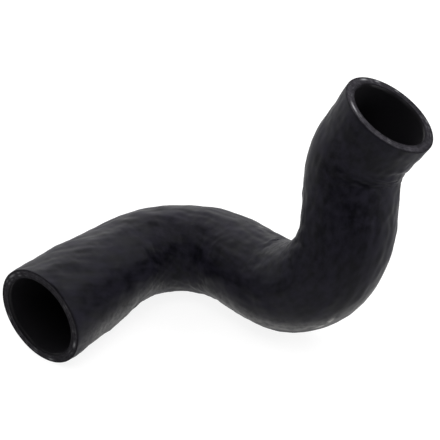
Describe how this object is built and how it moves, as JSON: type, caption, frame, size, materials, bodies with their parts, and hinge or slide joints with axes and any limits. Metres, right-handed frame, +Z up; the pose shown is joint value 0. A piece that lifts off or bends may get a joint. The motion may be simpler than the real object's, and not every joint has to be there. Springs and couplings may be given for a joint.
{
  "type": "radiator hose",
  "caption": "Moulded rubber radiator hose with a fat inlet cuff, an S-shaped run of three bends and a flared outlet.",
  "frame": {"origin": "on the ground, under the middle of the hose's bounding box as it lies at rest", "axes": "+Z up; +Y along the inlet leg, away from the inlet mouth; +X along the longest extent, from the inlet towards the outlet"},
  "size_m": [0.182, 0.1482, 0.1456],
  "materials": {
    "hose_rubber": "matt"
  },
  "bodies": {
    "root": {"hose": "hose_rubber"}
  },
  "joints": []
}
